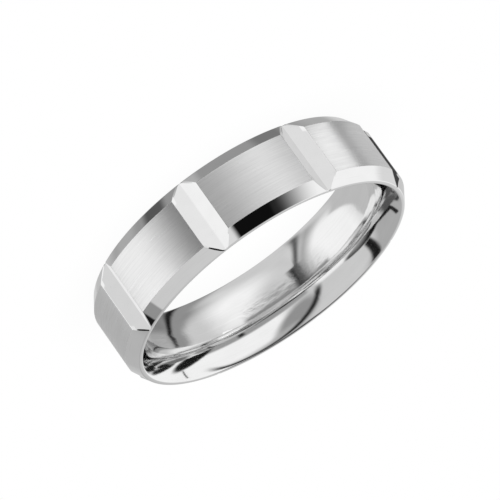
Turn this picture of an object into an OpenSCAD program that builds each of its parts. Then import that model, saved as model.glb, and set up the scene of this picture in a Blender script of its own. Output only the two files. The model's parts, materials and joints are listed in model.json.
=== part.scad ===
// Wedding band for a US size 10 finger, cut from one piece of white gold.
// The ring lies flat: the finger hole runs along Z and the origin is the centre of the hole.
// All sizes are in millimetres.

/* [Ring] */
// Inside diameter at the crest of the domed finger hole
finger_d = 19.8; // [15.6:0.1:23.0]
// Width of the band along the finger
band_w = 6; // [5:0.1:8]
// Thickness of the wall from the hole's crest to the crown
wall_t = 1.9; // [1.8:0.05:2.2]

/* [Edges] */
// Width of each bevel, measured along the finger
bevel_w = 0.925; // [0.6:0.025:1.1]
// Angle by which each bevel falls away from the crown, in degrees
bevel_angle = 31; // [25:1:33]
// Width of the flat rim between the bevel and the finger hole
rim_w = 0.3; // [0.26:0.01:0.4]
// Radius on the rim's outer corner
rim_outer_round = 0.08; // [0.04:0.01:0.1]
// Radius on the rim's inner corner
rim_inner_round = 0.14; // [0.06:0.01:0.16]

/* [Finger hole] */
// Length of the straight stretch at the crest of the dome
crest_l = 1; // [0.6:0.1:1.6]

/* [Cross cuts] */
// Number of V cuts spaced evenly round the band
cut_count = 8; // [4:1:12]
// Angle between the two facets of a V cut, in degrees
cut_angle = 122; // [110:1:128]
// How far the root of a V cut lies below the rim's outer corner
cut_nick = 0.09; // [0.03:0.01:0.12]

/* [Hidden] */
$fn = 180;

half_w = band_w / 2;
crest_r = finger_d / 2;
crown_r = crest_r + wall_t;
crown_half_w = half_w - bevel_w;
rim_outer_r = crown_r - bevel_w * tan(bevel_angle);
rim_inner_r = rim_outer_r - rim_w;
cut_root_r = rim_outer_r - cut_nick;

// Each side of the dome is an arc that leaves the crest tangent and ends at the rim.
dome_run = half_w - crest_l / 2;
dome_drop = rim_inner_r - crest_r;
dome_arc_r = (dome_run * dome_run + dome_drop * dome_drop) / (2 * dome_drop);
dome_arc_centre_r = crest_r + dome_arc_r;

// Cutting shapes run past the metal by this much, so that no faces coincide.
overshoot = 0.5;

metal = [0.86, 0.86, 0.87];

// Bevelled outline of the wall with sharp corners and a straight inner side.
module blank_section() {
    polygon([
        [crest_r, -half_w],
        [rim_outer_r, -half_w],
        [crown_r, -crown_half_w],
        [crown_r, crown_half_w],
        [rim_outer_r, half_w],
        [crest_r, half_w],
    ]);
}

// Region outside the domed wall of the finger hole.
module dome_section() {
    translate([crest_r, -crest_l / 2]) square([dome_arc_r, crest_l]);
    for (side = [-1, 1])
        translate([dome_arc_centre_r, side * crest_l / 2]) circle(r = dome_arc_r);
}

// Material outside a corner's rounding: the two touch points are where the rounding begins and ends.
module corner_waste(centre, radius, touch_a, outside, touch_b) {
    difference() {
        polygon([touch_a, outside, touch_b]);
        translate(centre) circle(r = radius);
    }
}

// Waste at the corner between the flat rim and the bevel, on the upper side.
module rim_outer_waste() {
    corner = [rim_outer_r, half_w];
    down_bevel = [sin(bevel_angle), -cos(bevel_angle)];
    along = rim_outer_round * tan((90 - bevel_angle) / 2);
    corner_waste(
        centre = corner + [-along, -rim_outer_round],
        radius = rim_outer_round,
        touch_a = corner + [-along, 0],
        outside = corner + [overshoot, overshoot] / 2,
        touch_b = corner + along * down_bevel
    );
}

// Waste at the corner between the flat rim and the dome, on the upper side.
module rim_inner_waste() {
    rise = half_w - rim_inner_round - crest_l / 2;
    reach = dome_arc_r - rim_inner_round;
    across = sqrt(reach * reach - rise * rise);
    centre = [dome_arc_centre_r - across, half_w - rim_inner_round];
    corner_waste(
        centre = centre,
        radius = rim_inner_round,
        touch_a = [centre.x, half_w],
        outside = [rim_inner_r - overshoot / 2, half_w + overshoot / 2],
        touch_b = centre + rim_inner_round / reach * [-across, rise]
    );
}

// Finished section of the wall, with the finger's axis at the left.
module wall_section() {
    difference() {
        intersection() {
            blank_section();
            dome_section();
        }
        for (side = [0, 1])
            mirror([0, side]) {
                rim_outer_waste();
                rim_inner_waste();
            }
    }
}

// V-shaped prism that cuts right across the band, with its root towards the finger.
module cross_cut() {
    depth = crown_r - cut_root_r + overshoot;
    half_mouth = depth * tan(cut_angle / 2);
    translate([cut_root_r, 0, 0])
        linear_extrude(height = band_w + 2 * overshoot, center = true)
            polygon([[0, 0], [depth, -half_mouth], [depth, half_mouth]]);
}

// The whole ring: a turned wall with evenly spaced cross cuts.
module band() {
    color(metal)
        difference() {
            rotate_extrude() wall_section();
            for (i = [0 : cut_count - 1])
                rotate([0, 0, i * 360 / cut_count]) cross_cut();
        }
}

band();
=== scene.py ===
"""Looks of a wedding band: a fine mesh in the CAD solid's place, its three metals, and a white studio."""

import json
from collections import namedtuple
from math import acos, asin, atan, cos, degrees, hypot, radians, sin, sqrt, tan

import bpy
from mathutils import Matrix, Vector


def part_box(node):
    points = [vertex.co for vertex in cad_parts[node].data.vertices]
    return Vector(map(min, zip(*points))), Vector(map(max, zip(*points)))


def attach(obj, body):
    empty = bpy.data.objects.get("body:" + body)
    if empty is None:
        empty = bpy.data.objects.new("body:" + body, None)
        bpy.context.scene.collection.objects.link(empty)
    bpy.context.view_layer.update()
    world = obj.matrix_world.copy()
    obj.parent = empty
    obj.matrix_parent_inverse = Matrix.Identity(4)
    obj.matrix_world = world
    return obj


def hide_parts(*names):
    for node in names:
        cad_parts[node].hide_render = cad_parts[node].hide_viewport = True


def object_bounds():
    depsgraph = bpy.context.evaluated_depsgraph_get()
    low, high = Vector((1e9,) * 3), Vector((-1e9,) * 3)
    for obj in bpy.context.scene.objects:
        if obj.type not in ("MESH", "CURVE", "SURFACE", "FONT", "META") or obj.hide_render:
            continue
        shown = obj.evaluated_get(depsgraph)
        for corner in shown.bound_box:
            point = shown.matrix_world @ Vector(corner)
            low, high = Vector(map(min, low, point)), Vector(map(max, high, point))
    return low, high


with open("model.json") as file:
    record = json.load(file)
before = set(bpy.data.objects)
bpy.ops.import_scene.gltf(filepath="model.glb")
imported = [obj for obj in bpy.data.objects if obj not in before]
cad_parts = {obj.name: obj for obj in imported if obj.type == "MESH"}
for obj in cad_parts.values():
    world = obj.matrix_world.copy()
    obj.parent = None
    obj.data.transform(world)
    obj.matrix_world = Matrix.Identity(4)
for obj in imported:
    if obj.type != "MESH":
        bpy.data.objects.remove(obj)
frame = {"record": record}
cad_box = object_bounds()

MM = 0.001

# ---- Ring proportions in mm: the frame gives the main sizes, the rest repeat the CAD's ----

FINGER_BORE = next(mount for mount in frame["record"]["mounts"] if mount["name"] == "finger_bore")["dims"]
CREST_R = FINGER_BORE["r_mm"]
CREST_HALF = FINGER_BORE["length_mm"] / 2
# The box is in single precision, so its noise is rounded off.
HALF_W = round(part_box("band")[1][2] / MM, 3)

WALL = 1.9
BEVEL_W = 0.925
# The angles are in degrees: how far a bevel falls away from the crown, and between the two facets of a cut.
BEVEL_ANGLE = 31
RIM_W = 0.3
RIM_OUTER_ROUND = 0.08
RIM_INNER_ROUND = 0.14
CUTS = 8
CUT_ANGLE = 122
CUT_NICK = 0.09

CROWN_R = CREST_R + WALL
RIM_OUTER_R = CROWN_R - BEVEL_W * tan(radians(BEVEL_ANGLE))
RIM_INNER_R = RIM_OUTER_R - RIM_W
RIM_MIDDLE = ((RIM_OUTER_R + RIM_INNER_R) / 2, HALF_W)
CUT_ROOT_R = RIM_OUTER_R - CUT_NICK
CUT_PITCH = 360 / CUTS
FACET_SLOPE = 1 / tan(radians(CUT_ANGLE / 2))
# Angle in degrees from a cut's root to its edge on the crown.
CUT_HALF_ANGLE = degrees(acos(CUT_ROOT_R / CROWN_R / hypot(1, FACET_SLOPE)) - atan(FACET_SLOPE))

# Polishing softens edges: the crown's edges by EDGE_SOFT, and the ends of a facet by up to FACET_EASE.
# A line of mesh at SUPPORT from a softened edge keeps the surface beside it flat. SOFTENED_REACH takes the
# close columns at the edge between crown and facet a little past the softened stretch.
EDGE_SOFT = 0.02
FACET_EASE = 0.1
SUPPORT = 0.02
SOFTENED_REACH = 1.3

# How finely each stretch of the mesh is divided, in equal steps or at fractions of its length.
FACET_STEPS = 17
SOFTENED_STEPS = 6
PANEL_STEPS = 12
EDGE_STEPS = 3
CORNER_STEPS = 5
DOME_STEPS = 18
BEVEL_STOPS = (0.04, 0.35, 0.65, 0.96)
FACE_STOPS = (0, 0.35, 0.7)
FACE_ROWS = len(FACE_STOPS) + 1


def evenly(start, end, steps):
    """Numbers from start to end in equal steps, both included."""
    return [start + (end - start) * i / steps for i in range(steps + 1)]


def arc(centre, radius, start, end, steps):
    """Points of an arc in the section plane between two angles in degrees, both ends included."""
    angles = [radians(angle) for angle in evenly(start, end, steps)]
    return [(centre[0] + radius * cos(a), centre[1] + radius * sin(a)) for a in angles]


def straight(start, end, stops):
    """Points on the line between two points, at the given fractions of its length."""
    return [tuple(a + (b - a) * stop for a, b in zip(start, end)) for stop in stops]


def outer_side():
    """Section (radius, height) from the crown's softened edge down the bevel to the middle of the rim."""
    slope = radians(BEVEL_ANGLE)
    inset = EDGE_SOFT * tan(slope / 2)
    edge_centre = (CROWN_R - EDGE_SOFT, HALF_W - BEVEL_W - inset)
    crown_edge = arc(edge_centre, EDGE_SOFT, 0, BEVEL_ANGLE, EDGE_STEPS)
    along = RIM_OUTER_ROUND * tan((radians(90) - slope) / 2)
    corner_centre = (RIM_OUTER_R - along, HALF_W - RIM_OUTER_ROUND)
    corner = arc(corner_centre, RIM_OUTER_ROUND, BEVEL_ANGLE, 90, CORNER_STEPS)
    bevel = straight(crown_edge[-1], corner[0], BEVEL_STOPS)
    return crown_edge + bevel + corner + [RIM_MIDDLE]


def inner_side():
    """Section from the rim's rounded inner corner, over the dome, to the crest."""
    run = HALF_W - CREST_HALF
    drop = RIM_INNER_R - CREST_R
    dome_r = (run * run + drop * drop) / (2 * drop)
    dome_centre = (CREST_R + dome_r, CREST_HALF)
    rise = run - RIM_INNER_ROUND
    reach = dome_r - RIM_INNER_ROUND
    corner_centre = (dome_centre[0] - sqrt(reach * reach - rise * rise), HALF_W - RIM_INNER_ROUND)
    touch = 180 - degrees(asin(rise / reach))
    corner = arc(corner_centre, RIM_INNER_ROUND, 90, touch, CORNER_STEPS)
    dome = arc(dome_centre, dome_r, touch, 180, DOME_STEPS)
    return corner + dome[1:] + [(CREST_R, CREST_HALF / 2), (CREST_R, 0)]


def face_radius(turn):
    """Radius of the ring's face, crown or facet, at an angle in radians from a cut's root.

    The edge between crown and facet is rounded off by a parabola, at most a quarter of EDGE_SOFT deep.
    """
    facet = CUT_ROOT_R / (cos(turn) - abs(sin(turn)) * FACET_SLOPE)
    nearness = max(EDGE_SOFT - abs(facet - CROWN_R), 0) / EDGE_SOFT
    return min(facet, CROWN_R) - nearness * nearness * EDGE_SOFT / 4


def half_sector_turns():
    """Angles in degrees from a cut's root to halfway to the next cut, close together at the softened edge."""
    reach = degrees(SOFTENED_REACH * EDGE_SOFT / FACET_SLOPE / CROWN_R)
    support = degrees(SUPPORT / CROWN_R)
    soft_start = CUT_HALF_ANGLE - reach
    soft_end = CUT_HALF_ANGLE + reach
    facet = evenly(0, soft_start - support, FACET_STEPS)
    softened = evenly(soft_start, soft_end, SOFTENED_STEPS)
    panel = evenly(soft_end + support, CUT_PITCH / 2, PANEL_STEPS)
    return facet + softened + panel


def ring_columns():
    """Every column of the mesh as (angle round the ring, angle from the nearest cut), in radians."""
    half = half_sector_turns()
    sector = [-turn for turn in reversed(half[1:-1])] + half
    return [(radians(cut * CUT_PITCH + turn), radians(turn)) for cut in range(CUTS) for turn in sector]


def clipped(side, radius):
    """The outer side from where it passes inside a radius, with as many points as before."""
    first = next(i for i, point in enumerate(side) if point[0] <= radius)
    if first == 0:
        return side
    before, after = side[first - 1], side[first]
    share = (before[0] - radius) / (before[0] - after[0])
    edge = straight(before, after, (share,))[0]
    return straight(edge, after, [i / first for i in range(first)]) + side[first:]


OUTER = outer_side()
INNER = inner_side()


def section(turn):
    """Closed section of the wall at an angle from a cut, from the face's middle round to itself."""
    radius = face_radius(turn)
    # The depth in a cut is 0 at the crown and 1 at the root. Halfway down, the facet's end is softened most.
    depth = max(OUTER[0][0] - radius, 0) / (OUTER[0][0] - CUT_ROOT_R)
    ease = SUPPORT + (FACET_EASE - SUPPORT) * 4 * depth * (1 - depth)
    edge_height = clipped(OUTER, radius)[0][1]
    face = [(radius, edge_height * stop) for stop in FACE_STOPS] + [(radius, edge_height - ease)]
    side = clipped(OUTER, radius - ease * sin(radians(BEVEL_ANGLE))) if depth > 0 else OUTER
    upper = face + side + INNER
    lower = [(r, -z) for r, z in reversed(upper[1:-1])]
    return upper + lower


# ---- Materials ----

def link(tree, source, target):
    tree.links.new(source, target)


def math_node(tree, operation, *values):
    """A Math node; numbers are set on its sockets and sockets are linked. Returns its output."""
    node = tree.nodes.new("ShaderNodeMath")
    node.operation = operation
    for socket, value in zip(node.inputs, values):
        if isinstance(value, (int, float)):
            socket.default_value = value
        else:
            link(tree, value, socket)
    return node.outputs[0]


def add(tree, first, second):
    return math_node(tree, "ADD", first, second)


def multiply(tree, first, second):
    return math_node(tree, "MULTIPLY", first, second)


def map_range(tree, value, source, result, shape="LINEAR"):
    """Maps a value from one (low, high) range to another, clamped."""
    node = tree.nodes.new("ShaderNodeMapRange")
    node.interpolation_type = shape
    link(tree, value, node.inputs["Value"])
    for name, number in zip(("From Min", "From Max", "To Min", "To Max"), source + result):
        node.inputs[name].default_value = number
    return node.outputs["Result"]


# A point's place on the ring in mm: along the circumference, out from the axis and across the band.
Place = namedtuple("Place", "along out across")


def ring_position(tree):
    """The place of the point being shaded, as three sockets."""
    coordinates = tree.nodes.new("ShaderNodeTexCoord")
    split = tree.nodes.new("ShaderNodeSeparateXYZ")
    link(tree, coordinates.outputs["Object"], split.inputs[0])
    x, y, z = split.outputs
    angle = math_node(tree, "ARCTAN2", y, x)
    squares = add(tree, multiply(tree, x, x), multiply(tree, y, y))
    radius = math_node(tree, "SQRT", squares)
    return Place(multiply(tree, angle, CROWN_R), multiply(tree, radius, 1 / MM), multiply(tree, z, 1 / MM))


NOISE_ROUGHNESS = 0.6
# Nearly all of a noise's values lie in this range.
NOISE_RANGE = (0.3, 0.7)


def streaks(tree, place, length, width, detail, seed):
    """Noise stretched round the circumference: streaks of about this length and width in mm."""
    combine = tree.nodes.new("ShaderNodeCombineXYZ")
    link(tree, math_node(tree, "DIVIDE", place.along, length), combine.inputs[0])
    link(tree, math_node(tree, "DIVIDE", add(tree, place.out, seed), width), combine.inputs[1])
    link(tree, math_node(tree, "DIVIDE", place.across, width), combine.inputs[2])
    noise = tree.nodes.new("ShaderNodeTexNoise")
    noise.inputs["Scale"].default_value = 1
    noise.inputs["Detail"].default_value = detail
    noise.inputs["Roughness"].default_value = NOISE_ROUGHNESS
    link(tree, combine.outputs[0], noise.inputs["Vector"])
    return noise.outputs[0]


def grey(tree, value):
    """A colour socket with the same value in all three channels."""
    combine = tree.nodes.new("ShaderNodeCombineColor")
    for socket in combine.inputs[:3]:
        link(tree, value, socket)
    return combine.outputs[0]


def bump(tree, height, depth_mm):
    """A normal socket for a height between 0 and 1 that stands for a depth in mm."""
    node = tree.nodes.new("ShaderNodeBump")
    node.inputs["Strength"].default_value = 1
    node.inputs["Distance"].default_value = depth_mm * MM
    link(tree, height, node.inputs["Height"])
    return node.outputs[0]


def metal(name):
    """A metal material and its node tree, with the shader ready for its inputs."""
    material = bpy.data.materials.new(name)
    material.use_nodes = True
    tree = material.node_tree
    shader = tree.nodes["Principled BSDF"]
    shader.inputs["Metallic"].default_value = 1
    return material, tree, shader


def brushed_metal():
    """The crown: satin, with fine scratches that run round the ring."""
    material, tree, shader = metal("white_gold_brushed")
    place = ring_position(tree)
    long_lines = streaks(tree, place, length=4.0, width=0.09, detail=3, seed=0)
    short_lines = streaks(tree, place, length=1.6, width=0.045, detail=2, seed=7)
    patches = streaks(tree, place, length=5.0, width=1.2, detail=1, seed=3)
    lines = add(tree, multiply(tree, long_lines, 0.6), multiply(tree, short_lines, 0.4))
    line_shade = map_range(tree, lines, NOISE_RANGE, (0.74, 0.86))
    patch_shade = map_range(tree, patches, NOISE_RANGE, (-0.01, 0.01))
    link(tree, grey(tree, add(tree, line_shade, patch_shade)), shader.inputs["Base Color"])
    link(tree, map_range(tree, lines, NOISE_RANGE, (0.36, 0.26)), shader.inputs["Roughness"])
    link(tree, bump(tree, lines, depth_mm=0.004), shader.inputs["Normal"])
    shader.inputs["Anisotropic"].default_value = 0.3
    shader.inputs["Anisotropic Rotation"].default_value = 0.25
    tangent = tree.nodes.new("ShaderNodeTangent")
    tangent.direction_type = "RADIAL"
    tangent.axis = "Z"
    link(tree, tangent.outputs[0], shader.inputs["Tangent"])
    return material


def mirror_metal():
    """The bevels, cut facets and rims: a mirror polish with the faintest ripple and a few hairlines."""
    material, tree, shader = metal("white_gold_mirror")
    place = ring_position(tree)
    ripple = streaks(tree, place, length=1.5, width=0.8, detail=1, seed=11)
    hairlines = streaks(tree, place, length=2.5, width=0.05, detail=1, seed=5)
    ripple_shade = map_range(tree, ripple, NOISE_RANGE, (0.89, 0.91))
    hairline_shade = map_range(tree, hairlines, (0.62, 0.75), (0, -0.04))
    link(tree, grey(tree, add(tree, ripple_shade, hairline_shade)), shader.inputs["Base Color"])
    link(tree, bump(tree, ripple, depth_mm=0.0012), shader.inputs["Normal"])
    shader.inputs["Roughness"].default_value = 0
    return material


def bore_metal():
    """The finger hole: polished by hand, softer than the bevels, with smudges along the crest."""
    material, tree, shader = metal("white_gold_bore")
    place = ring_position(tree)
    ripple = streaks(tree, place, length=3.0, width=1.0, detail=1, seed=17)
    lines = streaks(tree, place, length=6.0, width=0.08, detail=2, seed=23)
    smudges = streaks(tree, place, length=1.1, width=0.4, detail=2, seed=31)
    ripple_shade = map_range(tree, ripple, NOISE_RANGE, (0.88, 0.91))
    line_shade = map_range(tree, lines, NOISE_RANGE, (-0.015, 0.015))
    link(tree, grey(tree, add(tree, ripple_shade, line_shade)), shader.inputs["Base Color"])
    link(tree, map_range(tree, lines, NOISE_RANGE, (0.05, 0.09)), shader.inputs["Roughness"])
    crest = map_range(tree, math_node(tree, "ABSOLUTE", place.across), (0.2, 1.0), (1, 0))
    height = add(tree, multiply(tree, smudges, crest), multiply(tree, lines, 0.028))
    link(tree, bump(tree, height, depth_mm=0.011), shader.inputs["Normal"])
    return material


# ---- The ring's mesh ----

# Each face's finish is the place of its material in the mesh's list.
BRUSHED, MIRROR, BORE = range(3)
# Neighbouring faces that meet at more than this angle, in degrees, are shaded with a crisp edge.
CRISP_ANGLE = 18


def finish_of(row, on_panel):
    """The finish of the mesh face that starts at a row, counted from the middle of the crown."""
    if row < FACE_ROWS and on_panel:
        return BRUSHED
    if row < FACE_ROWS + len(OUTER):
        return MIRROR
    return BORE


def ring_mesh():
    """One closed mesh of four-sided faces: sections of the wall joined round the axis."""
    columns = ring_columns()
    rows = len(section(0))
    vertices = []
    for angle, turn in columns:
        for r, z in section(turn):
            vertices.append((r * cos(angle) * MM, r * sin(angle) * MM, z * MM))
    faces = []
    finishes = []
    panel_edge = radians(CUT_HALF_ANGLE)
    for i in range(len(columns)):
        j = (i + 1) % len(columns)
        on_panel = min(abs(columns[i][1]), abs(columns[j][1])) >= panel_edge
        for k in range(rows):
            m = (k + 1) % rows
            faces.append((i * rows + k, j * rows + k, j * rows + m, i * rows + m))
            finishes.append(finish_of(min(k, rows - 1 - k), on_panel))
    mesh = bpy.data.meshes.new("band_surface")
    mesh.from_pydata(vertices, [], faces)
    for material in (brushed_metal(), mirror_metal(), bore_metal()):
        mesh.materials.append(material)
    mesh.polygons.foreach_set("material_index", finishes)
    mesh.shade_smooth()
    mesh.set_sharp_from_angle(angle=radians(CRISP_ANGLE))
    return mesh


def build_ring():
    """The ring, as one piece that takes the CAD band's place."""
    ring = bpy.data.objects.new("band_surface", ring_mesh())
    bpy.context.collection.objects.link(ring)
    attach(ring, "root")
    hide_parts("band")


# ---- Studio ----

# The metal mirrors a world of soft-edged cards and oval blobs, given as directions round the ring in degrees.
# Each one is laid over those before it. The groups say who sees them: "all", the "sharp" (mirror-polished)
# faces, the "soft" (satin and bore) faces, or the soft faces only in light mirrored "twice" inside the bore.
CARD_FIELDS = "shape brightness azimuth elevation half_width half_height softness roll"
Card = namedtuple("Card", CARD_FIELDS, defaults=[0])

BASE_BRIGHTNESS = 0.64

# A grey wall behind the ring at the left, and one big light at the right.
LIGHT_AND_WALL = (
    Card("card", 0.43, 222, 25, 36, 30, 14),
    Card("blob", 0.97, -5, 36, 78, 34, 0.3),
)
# Broad darks, greys and lights above the horizon, in the bore and on the crown.
SOFT_ABOVE = (
    Card("blob", 0.02, 264, 75, 24, 35, 0.3),
    Card("blob", 0.31, 87, 42, 15, 27, 0.7, 26),
    Card("card", 0.45, 38, 63, 24, 7, 12),
    Card("card", 0.34, 50, 9, 52, 6, 5),
    Card("card", 0.97, 128, 6, 16, 6, 6),
)
# Blacks above the horizon, which make the bore's dark marks.
BORE_MARKS = (
    Card("blob", 0.01, 170, 9.5, 25, 5.5, 0.3, -9),
    Card("card", 0.01, 172, 3, 10, 4, 3),
    Card("card", 0.01, 204, 5, 20, 3, 1.5),
    Card("card", 0.01, 179, 31, 5, 17, 4, -20),
    Card("card", 0.01, 222, 11, 2.5, 5, 2),
    Card("card", 0.02, 238, 3, 4, 3, 4),
    Card("blob", 0.01, 345, 10, 26, 6.5, 0.4, -13),
    Card("blob", 0.01, 308, 4.5, 18, 4, 0.4),
    Card("card", 0.10, 327, 25, 0.9, 6, 1, 15),
    Card("card", 0.02, 38, 8, 3, 4, 4),
)
# Light from below: one patch for the soft faces, then three that every face sees.
SOFT_LIGHT_BELOW = (
    Card("blob", 0.72, 25, -62, 44, 16, 0.8),
)
LIGHTS_BELOW = (
    Card("blob", 0.99, 44, -36, 22, 28, 1.2),
    Card("blob", 0.98, 158, -30, 30, 34, 0.9),
    Card("card", 0.54, 218, -28, 24, 26, 6),
)
# Greys and a black below the horizon, in the bore and on the crown.
SOFT_BELOW = (
    Card("card", 0.23, 320, -40, 24, 20, 26),
    Card("card", 0.27, 80, -14, 32, 5, 8),
    Card("card", 0.30, 122, -13, 12, 4, 6),
    Card("card", 0.02, 107, -19, 7, 9, 7),
)
# A row just below the horizon, which shows along the bore's crest.
CREST_ROW = (
    Card("card", 0.30, 14, -3, 14, 6, 4),
    Card("card", 1.20, 46, -3, 16, 6, 4),
    Card("card", 0.01, 93, -3, 26, 6, 4),
    Card("card", 2.20, 155, -4, 21, 6, 4),
    Card("card", 0.10, 225, -3, 40, 6, 4),
    Card("card", 0.35, 300, -3, 26, 6, 4),
)
# What the upper bevel mirrors. The first four make the black beside the middle cut and the light at its end.
UPPER_BEVEL = (
    Card("card", 0.02, 50.5, 38, 19, 15, 32),
    Card("card", 0.76, 90, 26, 8, 20, 4),
    Card("card", 0.005, 65, 26, 13, 20, 10),
    Card("card", 0.005, 66.5, 26, 13, 20, 3),
    Card("card", 0.97, 118, 12, 14, 8, 4),
    Card("card", 0.01, 161, 8, 11, 8, 3),
    Card("card", 0.49, 214, 4, 22, 13, 6),
    Card("card", 0.60, 281, -8, 11, 8, 5),
    Card("card", 0.74, 303, 4, 13, 10, 12),
    Card("card", 0.43, 303, -45, 16, 12, 12),
    Card("card", 0.30, 174, 24, 6, 9, 2, -20),
    Card("card", 0.01, 183, 21, 4.5, 6, 2, -10),
)
# What the lower bevel mirrors, far below the horizon.
LOWER_BEVEL = (
    Card("blob", 0.32, 0, -90, 42, 42, 0.3),
    Card("blob", 0.46, 106, -82, 4, 3, 0.8),
    Card("blob", 0.43, 205, -56, 7, 7, 1),
    Card("blob", 0.10, 179, -71, 6, 5, 0.8),
    Card("blob", 0.20, 330, -62, 12, 6, 0.8),
)


def facet_card(brightness, azimuth):
    """A card that one facet of a cut mirrors in the photo's view."""
    return Card("card", brightness, azimuth, -20, 10, 6, 4)


# The flat facets mirror one direction each. The last card darkens the cut at the right edge of the picture.
FACETS = (
    facet_card(0.87, 38),
    facet_card(0.80, 64),
    facet_card(0.72, 128),
    facet_card(0.97, 154),
    facet_card(0.60, 308),
    Card("card", 0.06, 334, -33, 4, 20, 2),
)
# Darks at both ends of the bore, where it mirrors itself.
SECOND_REFLECTION = (
    Card("blob", 0.10, 190, 22, 34, 16, 0.8),
    Card("blob", 0.18, 22, 32, 38, 14, 0.8),
    Card("blob", 0.01, 313, 18, 16, 10, 0.5),
    Card("blob", 0.01, 344, 30, 14, 8, 0.5),
)
CARD_GROUPS = (
    ("all", LIGHT_AND_WALL),
    ("soft", SOFT_ABOVE + BORE_MARKS + SOFT_LIGHT_BELOW),
    ("all", LIGHTS_BELOW),
    ("soft", SOFT_BELOW + CREST_ROW),
    ("sharp", UPPER_BEVEL + LOWER_BEVEL + FACETS),
    ("twice", SECOND_REFLECTION),
)

# Thin curved lines that the soft faces see, in degrees: arcs at a radius from a centre direction. The middle
# of an arc is its turn round that centre.
Rib = namedtuple("Rib", "brightness azimuth elevation radius half_thickness softness middle half_span")
RIBS = (
    Rib(0.02, 47, -1, 66.5, 3, 5, 76, 60),
    Rib(0.38, 191, 16, 84, 4, 14, -123, 40),
    Rib(0.10, 191, 16, 90.5, 2, 4, -123, 44),
    Rib(0.30, 298, -15, 40, 9, 12, -60, 64),
    Rib(0.01, 298, -15, 34, 2.5, 4, -58, 50),
)
RIB_END_SOFTNESS = 20

# Upright cards beside the panel at the upper right of the picture. Their places and sizes are in mm.
NearCard = namedtuple("NearCard", "name brightness place azimuth half_width half_height")
NEAR_CARDS = (
    NearCard("near_card_bright", 1.15, (17.5, 4.9, -2.7), 341, 2.8, 3.0),
    NearCard("near_card_grey", 0.64, (15.76, -4.29, -2.7), 301, 3.6, 3.0),
)

# The floor's half size is in metres. Within CONTACT_REACH mm of the ring it dims, down to CONTACT_SHADE.
FLOOR_HALF = 12.0
CONTACT_REACH = 4
CONTACT_SHADE = 0.96

# The photo's viewing angle in degrees, with the distance, the lens and the framing shift in mm.
VIEW_AZIMUTH = 83.55
VIEW_ELEVATION = 20.55
VIEW_ROLL = 144.49
VIEW_DISTANCE = 417.5
VIEW_LENS = 422.35
VIEW_SENSOR = 36
VIEW_RAISED = 0.13
VIEW_ASIDE = 0.01


def axes(azimuth, elevation, roll):
    """Unit vectors across, up and outwards for something turned to these angles, in degrees."""
    a, e, turn = radians(azimuth), radians(elevation), radians(roll)
    outwards = Vector((cos(e) * cos(a), cos(e) * sin(a), sin(e)))
    level = Vector((-sin(a), cos(a), 0))
    upright = outwards.cross(level)
    across = level * cos(turn) + upright * sin(turn)
    up = upright * cos(turn) - level * sin(turn)
    return across, up, outwards


def dot(tree, direction, axis):
    """A socket for how far a direction points along an axis, from -1 to 1."""
    node = tree.nodes.new("ShaderNodeVectorMath")
    node.operation = "DOT_PRODUCT"
    link(tree, direction, node.inputs[0])
    node.inputs[1].default_value = axis
    return node.outputs["Value"]


def card_angles(tree, direction, card):
    """Angles in radians of a direction from a card's middle, across and up it."""
    across, up, outwards = axes(card.azimuth, card.elevation, card.roll)
    sideways = math_node(tree, "ARCTAN2", dot(tree, direction, across), dot(tree, direction, outwards))
    return sideways, math_node(tree, "ARCSINE", dot(tree, direction, up))


def fade(tree, value, edge, softness):
    """1 where a value is below an edge, fading smoothly to 0 across it over the softness."""
    return map_range(tree, value, (edge - softness / 2, edge + softness / 2), (1, 0), "SMOOTHSTEP")


def within(tree, angle, half, softness):
    """1 where an angle is within half of zero, fading to 0. The half and the softness are in degrees."""
    return fade(tree, math_node(tree, "ABSOLUTE", angle), radians(half), radians(softness))


def card_mask(tree, direction, card):
    """1 inside a four-sided card. Its softness is in degrees."""
    sideways, upwards = card_angles(tree, direction, card)
    inside_width = within(tree, sideways, card.half_width, card.softness)
    inside_height = within(tree, upwards, card.half_height, card.softness)
    return multiply(tree, inside_width, inside_height)


def blob_mask(tree, direction, card):
    """1 inside an oval card. Its softness is a share of its size."""
    sideways, upwards = card_angles(tree, direction, card)
    x = math_node(tree, "DIVIDE", sideways, radians(card.half_width))
    y = math_node(tree, "DIVIDE", upwards, radians(card.half_height))
    squares = add(tree, multiply(tree, x, x), multiply(tree, y, y))
    return fade(tree, math_node(tree, "SQRT", squares), 1, card.softness)


def rib_mask(tree, direction, rib):
    """1 along a rib's arc."""
    across, up, outwards = axes(rib.azimuth, rib.elevation, rib.middle)
    away = math_node(tree, "ARCCOSINE", dot(tree, direction, outwards))
    off = math_node(tree, "SUBTRACT", away, radians(rib.radius))
    turn = math_node(tree, "ARCTAN2", dot(tree, direction, up), dot(tree, direction, across))
    on_line = within(tree, off, rib.half_thickness, rib.softness)
    between_ends = within(tree, turn, rib.half_span, RIB_END_SOFTNESS)
    return multiply(tree, on_line, between_ends)


def laid_over(tree, below, brightness, mask):
    """The value below with a brightness laid over it where the mask is 1."""
    mix = tree.nodes.new("ShaderNodeMix")
    mix.data_type = "FLOAT"
    link(tree, mask, mix.inputs[0])
    if isinstance(below, float):
        mix.inputs[2].default_value = below
    else:
        link(tree, below, mix.inputs[2])
    mix.inputs[3].default_value = brightness
    return mix.outputs[0]


def viewer_masks(tree, path):
    """For each kind of viewer that doesn't see all cards, a socket that is 1 when it is the one looking."""
    sharp = path.outputs["Is Singular Ray"]
    soft = math_node(tree, "SUBTRACT", 1, sharp)
    mirrorings = path.outputs["Glossy Depth"]
    again = math_node(tree, "GREATER_THAN", mirrorings, 1.5)
    return {"sharp": sharp, "soft": soft, "twice": multiply(tree, soft, again)}


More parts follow.
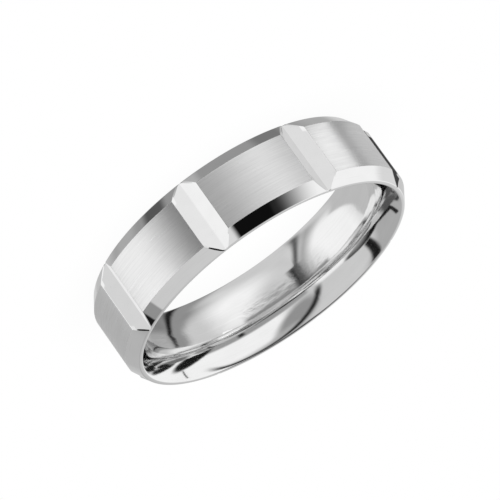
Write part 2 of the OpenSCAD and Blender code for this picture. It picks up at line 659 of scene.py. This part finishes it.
def mirrored_brightness(tree, path):
    """The brightness that the metal mirrors from every direction."""
    direction = tree.nodes.new("ShaderNodeTexCoord").outputs["Generated"]
    seen_by = viewer_masks(tree, path)
    masks = {"card": card_mask, "blob": blob_mask}
    brightness = BASE_BRIGHTNESS
    for viewers, cards in CARD_GROUPS:
        for card in cards:
            mask = masks[card.shape](tree, direction, card)
            if viewers in seen_by:
                mask = multiply(tree, mask, seen_by[viewers])
            brightness = laid_over(tree, brightness, card.brightness, mask)
    for rib in RIBS:
        mask = multiply(tree, rib_mask(tree, direction, rib), seen_by["soft"])
        brightness = laid_over(tree, brightness, rib.brightness, mask)
    return brightness


def mix_shaders(tree, share, first, second):
    """The first shader where the share is 0 and the second where it is 1."""
    mix = tree.nodes.new("ShaderNodeMixShader")
    link(tree, share, mix.inputs[0])
    link(tree, first.outputs[0], mix.inputs[1])
    link(tree, second.outputs[0], mix.inputs[2])
    return mix.outputs[0]


def build_studio():
    """The world: what the metal mirrors, and plain white where the camera looks past the floor."""
    world = bpy.data.worlds.new("studio")
    bpy.context.scene.world = world
    world.use_nodes = True
    tree = world.node_tree
    path = tree.nodes.new("ShaderNodeLightPath")
    mirrored = tree.nodes["Background"]
    link(tree, grey(tree, mirrored_brightness(tree, path)), mirrored.inputs["Color"])
    plain = tree.nodes.new("ShaderNodeBackground")
    plain.inputs["Color"].default_value = (1, 1, 1, 1)
    either = mix_shaders(tree, path.outputs["Is Camera Ray"], mirrored, plain)
    link(tree, either, tree.nodes["World Output"].inputs["Surface"])


def glowing_material(name):
    """A material that emits light, with its tree, the emission node and the socket to send it to."""
    material = bpy.data.materials.new(name)
    material.use_nodes = True
    tree = material.node_tree
    tree.nodes.remove(tree.nodes["Principled BSDF"])
    glow = tree.nodes.new("ShaderNodeEmission")
    return material, tree, glow, tree.nodes["Material Output"].inputs["Surface"]


def stage_plane(name, material, centre, across, up):
    """A rectangle of the stage, from its centre and the vectors to the middles of two sides, in metres."""
    corners = [centre + across * i + up * j for i, j in ((-1, -1), (1, -1), (1, 1), (-1, 1))]
    mesh = bpy.data.meshes.new(name)
    mesh.from_pydata(corners, [], [(0, 1, 2, 3)])
    mesh.materials.append(material)
    plane = bpy.data.objects.new(name, mesh)
    bpy.context.collection.objects.link(plane)
    return plane


def build_near_cards():
    """Two glowing cards close to the outside of the ring. Only its satin face mirrors them."""
    for card in NEAR_CARDS:
        material, tree, glow, surface = glowing_material(card.name)
        glow.inputs["Strength"].default_value = card.brightness
        singular = tree.nodes.new("ShaderNodeLightPath").outputs["Is Singular Ray"]
        clear = tree.nodes.new("ShaderNodeBsdfTransparent")
        link(tree, mix_shaders(tree, singular, glow, clear), surface)
        across, up, _ = axes(card.azimuth, 0, 0)
        half_across = across * card.half_width * MM
        half_up = up * card.half_height * MM
        plane = stage_plane(card.name, material, Vector(card.place) * MM, half_across, half_up)
        plane.visible_camera = False
        plane.visible_diffuse = False
        plane.visible_shadow = False


def build_floor():
    """A white floor that gives off light, with a very faint shade near the ring. Metal doesn't mirror it."""
    material, tree, glow, surface = glowing_material("white_floor")
    openness = tree.nodes.new("ShaderNodeAmbientOcclusion")
    openness.inputs["Distance"].default_value = CONTACT_REACH * MM
    link(tree, map_range(tree, openness.outputs["AO"], (0, 1), (CONTACT_SHADE, 1)), glow.inputs["Strength"])
    link(tree, glow.outputs[0], surface)
    centre = Vector((0, 0, cad_box[0][2]))
    floor = stage_plane("floor", material, centre, Vector((FLOOR_HALF, 0, 0)), Vector((0, FLOOR_HALF, 0)))
    floor.visible_glossy = False


def build_camera():
    """The camera: above the ring's upper rim, rolled nearly upside down, with a long lens."""
    right, up, back = axes(VIEW_AZIMUTH, VIEW_ELEVATION, VIEW_ROLL)
    place = (back * VIEW_DISTANCE + up * VIEW_RAISED + right * VIEW_ASIDE) * MM
    camera = bpy.data.objects.new("camera", bpy.data.cameras.new("camera"))
    camera.data.sensor_width = VIEW_SENSOR
    camera.data.lens = VIEW_LENS
    camera.data.clip_start = 0.01
    camera.data.clip_end = 100
    camera.matrix_world = Matrix.Translation(place) @ Matrix((right, up, back)).transposed().to_4x4()
    bpy.context.collection.objects.link(camera)
    bpy.context.scene.camera = camera


build_ring()
build_studio()
build_near_cards()
build_floor()
build_camera()
bpy.context.scene.view_settings.view_transform = "Standard"
